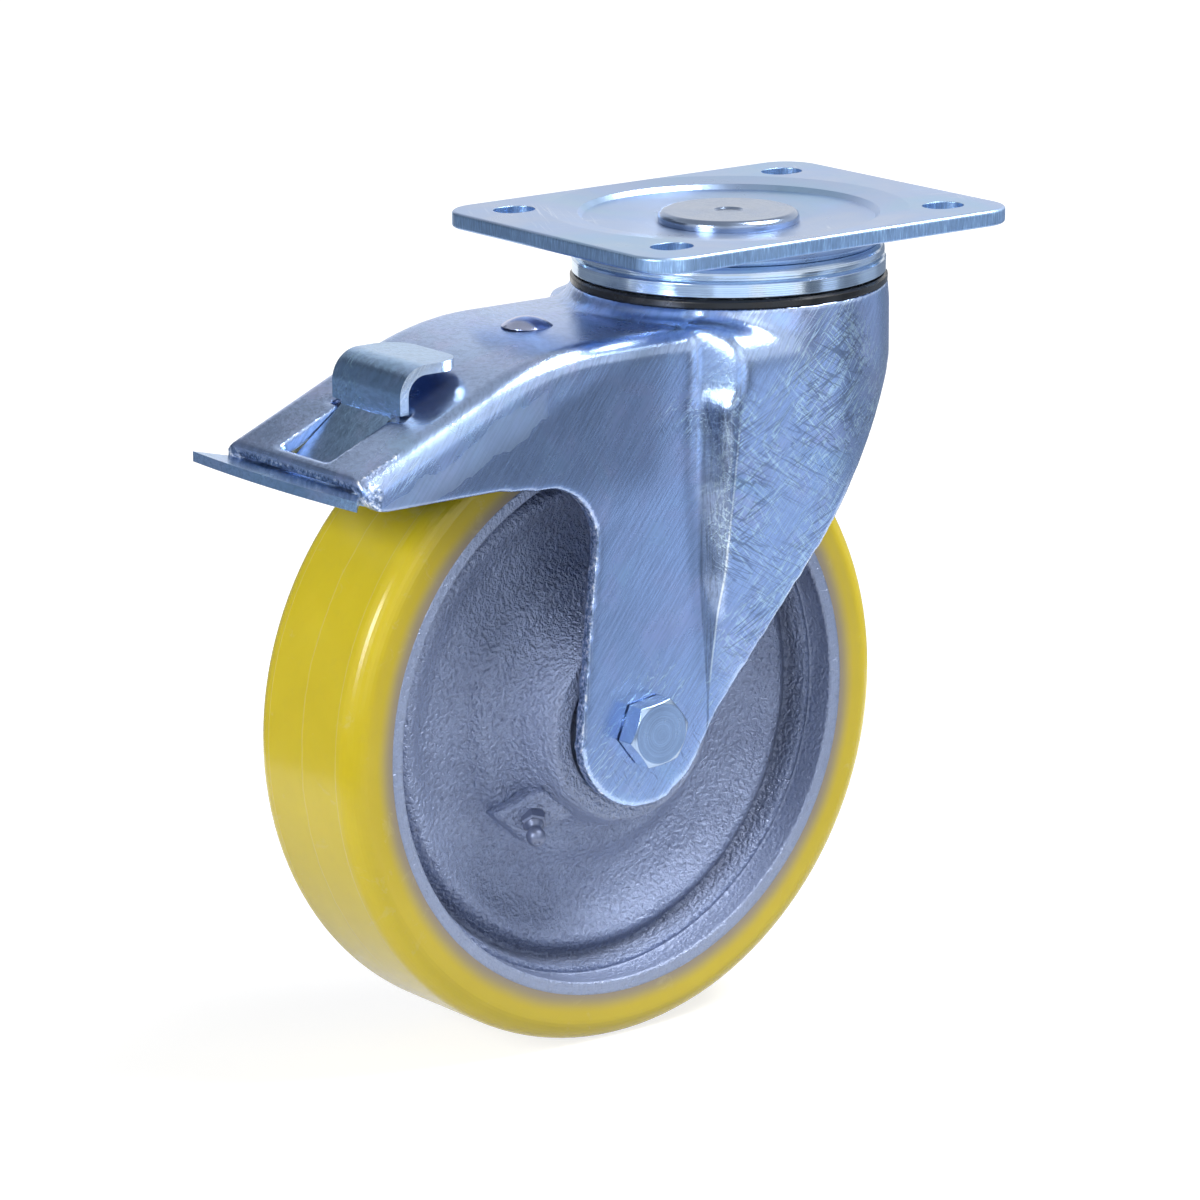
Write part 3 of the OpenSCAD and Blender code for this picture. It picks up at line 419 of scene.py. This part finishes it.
def smooth_housing():
    """The pressed housing with the soft bends of real sheet, and a mask for its sheared edges."""
    source = nodes["fork_housing"]
    piece = bpy.data.objects.new("fork_pressing", source.data.copy())
    bpy.context.scene.collection.objects.link(piece)
    remesh = piece.modifiers.new("remesh", "REMESH")
    remesh.mode = "VOXEL"
    remesh.voxel_size = 0.0011
    shape = bpy.data.meshes.new_from_object(piece.evaluated_get(bpy.context.evaluated_depsgraph_get()))
    piece.modifiers.clear()
    piece.data = shape
    count = len(shape.vertices)
    place = np.empty(count * 3)
    shape.vertices.foreach_get("co", place)
    place = place.reshape(-1, 3)
    edges = np.empty(len(shape.edges) * 2, dtype=np.int64)
    shape.edges.foreach_get("vertices", edges)
    a, b = edges.reshape(-1, 2).T
    links = (np.bincount(a, minlength=count) + np.bincount(b, minlength=count))[:, None]
    start = place.copy()
    side = np.abs(start[:, 1])
    # The crown's sides and the steps are drawn deeper, so they get more passes
    soft = (start[:, 0] > -0.052) & (side > 0.0325) & (start[:, 2] < -0.0235)
    for step in range(CROWN_PASSES):
        total = np.zeros_like(place)
        for axis in range(3):
            total[:, axis] = np.bincount(a, place[b, axis], count) + np.bincount(b, place[a, axis], count)
        pull = np.where(soft | (step < BEND_PASSES), 0.5, 0.0)[:, None]
        place = place + pull * (total / links - place)
    shape.vertices.foreach_set("co", place.ravel())
    shape.update()
    normals = np.empty(count * 3)
    shape.vertices.foreach_get("normal", normals)
    normals = np.abs(normals.reshape(-1, 3))
    # Sheared: what faces along the sheet at the low edges and the lip, but not the step or the axle's hole
    crease = (start[:, 0] > -0.046) & (start[:, 0] < -0.028) & (start[:, 2] > -0.1395)
    low_edge = (normals[:, 1] < 0.45) & (side > 0.0318) & (start[:, 2] < -0.05) & ~crease
    lip = (start[:, 0] < -0.156) & (start[:, 2] < -0.0575)
    hole = np.hypot(start[:, 0] - AXLE[0], start[:, 2] - AXLE[2]) < 0.0075
    sheared = shape.attributes.new("sheared", "FLOAT", "POINT")
    sheared.data.foreach_set("value", ((low_edge | lip) & ~hole).astype(np.float32))
    for polygon in shape.polygons:
        polygon.use_smooth = True
    return piece


pressing = smooth_housing()
pressing.data.materials.clear()
pressing.data.materials.append(sheet_metal("fork_zinc", (0.41, 0.545, 0.84), 0.2, 0.25, fork=True))
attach(pressing, "fork")
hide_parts("fork_housing")


# Wheel casting: hub fillet, flat web, bulge and hollow at the rim, and the nipple's boss

# (radius, distance from the middle) in millimetres, from the bore to the tread
HALF_WHEEL = [
    (14.0, 15.5), (23.5, 15.5), (23.5, 30.0), (29.0, 30.0), (29.8, 29.2), (30.4, 25.5), (31.4, 21.5), (33.0, 17.2),
    (35.5, 14.2), (38.0, 12.9), (40.5, 12.6), (42.5, 12.0), (44.5, 10.7), (46.5, 9.3), (49.0, 8.3), (52.0, 8.0),
    (58.0, 8.0), (61.0, 8.3), (64.0, 9.5), (66.5, 11.0), (68.5, 12.2), (70.5, 12.7), (72.3, 12.2), (74.0, 10.6),
    (75.3, 9.2), (76.4, 9.0), (77.3, 10.6), (78.1, 15.2), (78.5, 16.0), (80.4, 16.0), (80.8, 16.8), (81.1, 24.6),
    (81.5, 25.0), (85.0, 25.0)]
WEB_RUN = (5, 26)       # the points that one smooth curve joins


def rounded_run(points, first, last, parts):
    """Replaces a run of points by a smooth curve through them."""
    run = [Vector(q) for q in points[first - 1:last + 2]]
    smooth = []
    for i in range(1, len(run) - 2):
        a, b, c, d = run[i - 1:i + 3]
        for k in range(parts):
            t = k / parts
            smooth.append(0.5 * (2 * b + (c - a) * t + (2 * a - 5 * b + 4 * c - d) * t * t
                                 + (3 * b - a - 3 * c + d) * t ** 3))
    return [Vector(q) for q in points[:first]] + smooth + [Vector(q) for q in points[last:]]


def turned_mesh(name, section, steps, place, sharp):
    """A closed section of (radius, along) in millimetres, turned round the local Z axis."""
    count = len(section)
    angles = np.arange(steps) * 2 * math.pi / steps
    radius = np.array([q[0] for q in section]) / 1000
    along = np.array([q[1] for q in section]) / 1000
    points = np.stack([np.outer(np.cos(angles), radius), np.outer(np.sin(angles), radius),
                       np.tile(along, (steps, 1))], axis=-1).reshape(-1, 3)
    faces = [(i * count + j, (i + 1) % steps * count + j, (i + 1) % steps * count + (j + 1) % count,
              i * count + (j + 1) % count) for i in range(steps) for j in range(count)]
    mesh = bpy.data.meshes.new(name)
    mesh.from_pydata([tuple(place @ Vector(q)) for q in points], [], faces)
    for polygon in mesh.polygons:
        polygon.use_smooth = True
    mesh.set_sharp_from_angle(angle=math.radians(sharp))
    piece = bpy.data.objects.new(name, mesh)
    bpy.context.scene.collection.objects.link(piece)
    return piece


def wheel_casting():
    """Both halves of the section, turned round the axle."""
    half = rounded_run(HALF_WHEEL, *WEB_RUN, 3)
    section = half + [Vector((q[0], -q[1])) for q in reversed(half)]
    along_y = Matrix.Translation(Vector(AXLE)) @ Matrix.Rotation(math.radians(-90), 4, "X")
    return turned_mesh("wheel_casting", section, 320, along_y, 42)


def nipple_boss():
    """A wedge that rises from the web to the hub, with soft cast edges."""
    top = [(-40.3, -14.2, -24.8), (-28.8, -14.2, -35.3), (-16.3, -22.7, -27.0), (-27.0, -22.0, -17.2)]
    low = [(x, -6.5, z) for x, y, z in top]
    body = bmesh.new()
    corners = [body.verts.new(Vector(AXLE) + Vector(q) / 1000) for q in top + low]
    for face in ((0, 3, 2, 1), (4, 5, 6, 7), (0, 1, 5, 4), (1, 2, 6, 5), (2, 3, 7, 6), (3, 0, 4, 7)):
        body.faces.new([corners[i] for i in face])
    bmesh.ops.bevel(body, geom=list(body.edges), offset=0.0013, segments=4, profile=0.5, affect="EDGES")
    bmesh.ops.recalc_face_normals(body, faces=body.faces)
    mesh = bpy.data.meshes.new("nipple_boss")
    body.to_mesh(mesh)
    body.free()
    for polygon in mesh.polygons:
        polygon.use_smooth = True
    piece = bpy.data.objects.new("nipple_boss", mesh)
    bpy.context.scene.collection.objects.link(piece)
    return piece


def ball_nipple():
    """Hexagon, neck and ball with a flat tip, square on the boss."""
    base = Vector(AXLE) + Vector((-28.4, -17.6, -26.8)) / 1000
    axis = Vector((-0.43, -0.74, -0.51)).normalized()
    place = Matrix.Translation(base) @ axis.to_track_quat("Z", "X").to_matrix().to_4x4()
    ball = [(3.0 * math.cos(a), 7.8 + 3.0 * math.sin(a)) for a in np.radians(np.linspace(-52, 62, 16))]
    section = [(0.02, -3.0), (2.9, -3.0), (2.9, 3.6), (2.2, 4.2), (1.85, 4.9), *ball,
               (1.0, 10.5), (0.7, 10.1), (0.02, 10.1)]
    neck = turned_mesh("nipple_ball", section, 48, place, 50)
    body = bmesh.new()
    rings = []
    for reach, height in ((3.7, -0.6), (4.04, -0.2), (4.04, 2.5), (3.55, 3.1), (2.6, 3.1)):
        rings.append([body.verts.new(place @ (Vector((reach * math.cos(a), reach * math.sin(a), height)) / 1000))
                      for a in np.radians(np.arange(6) * 60 + 12)])
    for low, high in zip(rings, rings[1:]):
        for i in range(6):
            body.faces.new((low[i], low[(i + 1) % 6], high[(i + 1) % 6], high[i]))
    body.faces.new(list(reversed(rings[0])))
    body.faces.new(rings[-1])
    mesh = bpy.data.meshes.new("nipple_hexagon")
    body.to_mesh(mesh)
    body.free()
    collar = bpy.data.objects.new("nipple_hexagon", mesh)
    bpy.context.scene.collection.objects.link(collar)
    return neck, collar


cast_look = cast_metal("wheel_cast")
coated = turned_metal("nipple_coat", (0.19, 0.225, 0.34), AXLE, ROUND_Y, 0.34, 0.6, 0.15)
casting = wheel_casting()
boss = nipple_boss()
ball_part, hexagon_part = ball_nipple()
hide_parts("wheel_centre")
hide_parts("wheel_centre")
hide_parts("grease_nipple")
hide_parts("grease_nipple")
for piece, look, slot in ((casting, cast_look, "grey_cast"), (boss, cast_look, "grey_cast"),
                          (ball_part, coated, "zinc_bright"), (hexagon_part, coated, "zinc_bright")):
    piece.data.materials.append(look)
    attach(piece, "wheel")


# Materials of the CAD nodes

bright = (0.58, 0.68, 0.84)
steel = (0.5, 0.52, 0.57)
ball = (0.66, 0.68, 0.72)

bolt_zinc = (0.38, 0.5, 0.7)
dress = {
    "top_plate": plate_metal("plate_zinc", (0.29, 0.44, 0.67)),
    "king_pin": turned_metal("pin_zinc", (0.28, 0.36, 0.52), gloss=0.2, metal=0.97, wear=0.12),
    "king_nut": turned_metal("nut_zinc", bright),
    "upper_race": turned_metal("race_zinc", (0.58, 0.7, 0.88), gloss=0.14, metal=0.97),
    "lower_race": turned_metal("lower_race_steel", steel),
    "swivel_seal": rubber("seal_rubber", (0.012, 0.0125, 0.014), 0.24),
    "upper_balls": turned_metal("upper_ball_steel", ball, gloss=0.12),
    "lower_balls": turned_metal("lower_ball_steel", ball, gloss=0.12),
    "axle_bolt": turned_metal("bolt_zinc", bolt_zinc, AXLE, ROUND_Y, 0.22, 0.96, 0.25, 0.0005),
    "axle_nut": turned_metal("axle_nut_zinc", bolt_zinc, AXLE, ROUND_Y, 0.22, 0.96, 0.25, 0.0005),
    "axle_sleeve": turned_metal("sleeve_steel", steel, AXLE, ROUND_Y),
    "thrust_rings": turned_metal("ring_steel", steel, AXLE, ROUND_Y),
    "bearing_inner_rings": turned_metal("inner_ring_steel", ball, AXLE, ROUND_Y, 0.14),
    "bearing_outer_rings": turned_metal("outer_ring_steel", ball, AXLE, ROUND_Y, 0.14),
    "bearing_balls": turned_metal("bearing_ball_steel", ball, AXLE, ROUND_Y, 0.12),
    "bearing_shields": turned_metal("shield_steel", steel, AXLE, ROUND_Y, 0.26),
    "hood_rivet": turned_metal("rivet_zinc", (0.5, 0.56, 0.8), (-0.077, 0.0, 0.0), ROUND_Z, 0.18, 0.96, 0.2),
    "pedal_bracket": sheet_metal("bracket_zinc", (0.4, 0.5, 0.7), 0.2, 0.34),
    "pedal_pin": turned_metal("pedal_pin_steel", steel, (-0.131, 0.0, -0.06), ROUND_Y),
    "brake_pedal": sheet_metal("pedal_zinc", (0.34, 0.53, 0.8), 0.2, 0.22, bright_sides=True),
    "brake_leaf": sheet_metal("leaf_steel", (0.26, 0.27, 0.31), 0.15, 0.36),
    "brake_shoe": rubber("shoe_rubber", (0.025, 0.025, 0.028), 0.55),
    "tread": tread_plastic("tread_yellow"),
    "fork_housing": pressing.data.materials[0],
    "wheel_centre": cast_look,
    "grease_nipple": coated,
}
for name, material in dress.items():
    slots = nodes[name].data.materials
    if len(slots) == 0:
        slots.append(material)
    for i in range(len(slots)):
        slots[i] = material


# Camera

AZIMUTH, ELEVATION, ROLL = (math.radians(a) for a in (-37.1412, 14.4870, -0.4243))
DISTANCE = 1.7210
FRAME_PX = 1200         # the solved values below are in pixels of this frame
FOCAL_PX, SHIFT_X_PX, SHIFT_Y_PX = 5678.5, 28.746, 16.246
SENSOR = 36.0
back = Vector((math.sin(AZIMUTH) * math.cos(ELEVATION), -math.cos(AZIMUTH) * math.cos(ELEVATION),
               math.sin(ELEVATION)))
level = Vector((math.cos(AZIMUTH), math.sin(AZIMUTH), 0.0))
rise = back.cross(level)
right = level * math.cos(ROLL) + rise * math.sin(ROLL)
up = rise * math.cos(ROLL) - level * math.sin(ROLL)
target = Vector((-0.061186, 0.0, -0.118526))
camera = bpy.data.objects.new("camera", bpy.data.cameras.new("camera"))
bpy.context.scene.collection.objects.link(camera)
camera.data.sensor_width = SENSOR
camera.data.lens = FOCAL_PX / FRAME_PX * SENSOR
camera.data.shift_x = SHIFT_X_PX / FRAME_PX
camera.data.shift_y = SHIFT_Y_PX / FRAME_PX
camera.data.clip_start = 0.05
camera.matrix_world = Matrix.Translation(target + back * DISTANCE) @ Matrix((right, up, back)).transposed().to_4x4()
bpy.context.scene.camera = camera


# Floor, light and background

def math_node(tree, operation, a, b):
    node = tree.nodes.new("ShaderNodeMath")
    node.operation = operation
    tree.links.new(a, node.inputs[0])
    tree.links.new(b, node.inputs[1])
    return node.outputs[0]


def range_node(tree, value, start, end, low, high, smooth=False):
    """Maps start..end to low..high."""
    node = tree.nodes.new("ShaderNodeMapRange")
    if smooth:
        node.interpolation_type = "SMOOTHSTEP"
    tree.links.new(value, node.inputs["Value"])
    for name, number in (("From Min", start), ("From Max", end), ("To Min", low), ("To Max", high)):
        node.inputs[name].default_value = number
    return node.outputs[0]


def seen_white(tree):
    """1 for the rays that see the background: straight, mirrored or through glass."""
    path = tree.nodes.new("ShaderNodeLightPath")
    total = path.outputs["Is Camera Ray"]
    for name in ("Is Glossy Ray", "Is Transmission Ray"):
        total = math_node(tree, "MAXIMUM", total, path.outputs[name])
    return total


# White paper that glows for the rays that see it, and keeps the object's shadow
floor_mesh = bpy.data.meshes.new("floor")
floor_mesh.from_pydata([(-6, -6, FLOOR_Z), (6, -6, FLOOR_Z), (6, 6, FLOOR_Z), (-6, 6, FLOOR_Z)], [], [(0, 1, 2, 3)])
floor = bpy.data.objects.new("floor", floor_mesh)
bpy.context.scene.collection.objects.link(floor)
paper = bpy.data.materials.new("floor_paper")
paper.use_nodes = True
tree = paper.node_tree
tree.nodes.clear()
out = tree.nodes.new("ShaderNodeOutputMaterial")
both = tree.nodes.new("ShaderNodeAddShader")
matt = tree.nodes.new("ShaderNodeBsdfDiffuse")
matt.inputs["Color"].default_value = (0.4, 0.4, 0.4, 1.0)
glow = tree.nodes.new("ShaderNodeEmission")
glow.inputs["Color"].default_value = (1.0, 1.0, 1.0, 1.0)
spot = tree.nodes.new("ShaderNodeTexCoord")
reach = tree.nodes.new("ShaderNodeVectorMath")
reach.operation = "LENGTH"
tree.links.new(spot.outputs["Object"], reach.inputs[0])
far = range_node(tree, reach.outputs["Value"], 0.5, 1.8, 0.8, 0.96, smooth=True)
tree.links.new(math_node(tree, "MULTIPLY", seen_white(tree), far), glow.inputs["Strength"])
tree.links.new(matt.outputs[0], both.inputs[0])
tree.links.new(glow.outputs[0], both.inputs[1])
tree.links.new(both.outputs[0], out.inputs[0])
floor_mesh.materials.append(paper)

# White background, dimmer as light and toward the top
world = bpy.data.worlds.new("studio")
bpy.context.scene.world = world
world.use_nodes = True
tree = world.node_tree
tree.nodes.clear()
out = tree.nodes.new("ShaderNodeOutputWorld")
sky = tree.nodes.new("ShaderNodeBackground")
sky.inputs["Color"].default_value = (1.0, 1.0, 1.0, 1.0)
aim = tree.nodes.new("ShaderNodeTexCoord")
parts = tree.nodes.new("ShaderNodeSeparateXYZ")
tree.links.new(aim.outputs["Generated"], parts.inputs[0])
strength = range_node(tree, seen_white(tree), 0.0, 1.0, 0.12, 1.0)
fade = range_node(tree, parts.outputs[2], 0.3, 0.75, 1.0, 0.5, smooth=True)
tree.links.new(math_node(tree, "MULTIPLY", strength, fade), sky.inputs["Strength"])
tree.links.new(sky.outputs[0], out.inputs[0])


BOARD_R = 0.4
BOARD_TINT = (0.78, 0.92, 1.15, 1.0)
BOARD_STEPS = 24


def board(name, first, last, inner, outer, level):
    """A grey or pale board round the object between two (radius, height) rings, which only reflections show."""
    turns = [math.radians(first + (last - first) * i / BOARD_STEPS) for i in range(BOARD_STEPS + 1)]
    points = [(r * math.cos(a), r * math.sin(a), FLOOR_Z + h) for r, h in (inner, outer) for a in turns]
    faces = [(i, i + 1, i + BOARD_STEPS + 2, i + BOARD_STEPS + 1) for i in range(BOARD_STEPS)]
    mesh = bpy.data.meshes.new(name)
    mesh.from_pydata(points, [], faces)
    piece = bpy.data.objects.new(name, mesh)
    bpy.context.scene.collection.objects.link(piece)
    felt = bpy.data.materials.new(name + "_felt")
    felt.use_nodes = True
    web = felt.node_tree
    web.nodes.clear()
    end = web.nodes.new("ShaderNodeOutputMaterial")
    dim = web.nodes.new("ShaderNodeEmission")
    dim.inputs["Color"].default_value = BOARD_TINT
    dim.inputs["Strength"].default_value = level
    web.links.new(dim.outputs[0], end.inputs[0])
    mesh.materials.append(felt)
    for ray in ("camera", "diffuse", "shadow", "transmission"):
        setattr(piece, "visible_" + ray, False)


# name, first and last azimuth in degrees, low and high edge over the floor, level
for name, first, last, low, high, level in (
        ("board_left_low", 160, 230, 0.001, 0.1, 0.24), ("board_step", 230, 246, 0.001, 0.1, 0.36),
        ("board_left_high", 160, 221, 0.1, 0.24, 0.66), ("board_turn", 221, 246, 0.1, 0.24, 1.15),
        ("board_low", 246, 299, 0.001, 0.085, 0.42), ("board_high", 246, 284, 0.085, 0.14, 0.36),
        ("board_glint", 256, 276, 0.14, 0.24, 1.6), ("board_side", 284, 299, 0.085, 0.24, 0.2),
        ("board_pale_low", 299, 315, 0.001, 0.085, 0.95), ("board_pale_high", 299, 313, 0.085, 0.155, 1.05),
        ("board_plate", 299, 315, 0.155, 0.24, 0.62), ("board_crown_low", 315, 336, 0.001, 0.1, 0.36),
        ("board_crown_high", 313, 336, 0.1, 0.24, 0.3), ("board_right_low", 336, 395, 0.001, 0.1, 0.38),
        ("board_right_high", 336, 362, 0.1, 0.26, 0.55), ("board_far_right", 362, 395, 0.1, 0.26, 0.33),
        ("board_rear_low", 93, 158, 0.001, 0.2, 0.3), ("board_rear_mid", 93, 158, 0.2, 0.4, 0.18),
        ("board_rear_high", 93, 158, 0.4, 0.48, 0.1)):
    board(name, first, last, (BOARD_R, low), (BOARD_R, high), level)
board("board_floor", 262, 350, (0.17, 0.002), (BOARD_R - 0.001, 0.002), 0.82)


def area_lamp(name, place, size, power, diffuse=1.0):
    """A square lamp aimed at the middle of the object."""
    lamp = bpy.data.lights.new(name, "AREA")
    lamp.shape = "SQUARE"
    lamp.size = size
    lamp.energy = power
    lamp.diffuse_factor = diffuse
    body = bpy.data.objects.new(name, lamp)
    bpy.context.scene.collection.objects.link(body)
    body.location = place
    body.rotation_euler = (target - place).to_track_quat("-Z", "Y").to_euler()


area_lamp("left", target + Vector((-1.78, -0.42, 0.75)), 0.7, 27.0)
area_lamp("front", target + Vector((-0.3, -1.7, 1.2)), 1.2, 4.0, 0.5)
area_lamp("top", target + Vector((0.75, -0.5, 1.4)), 0.9, 45.0, 0.06)


scene = bpy.context.scene
scene.view_settings.view_transform = "Standard"
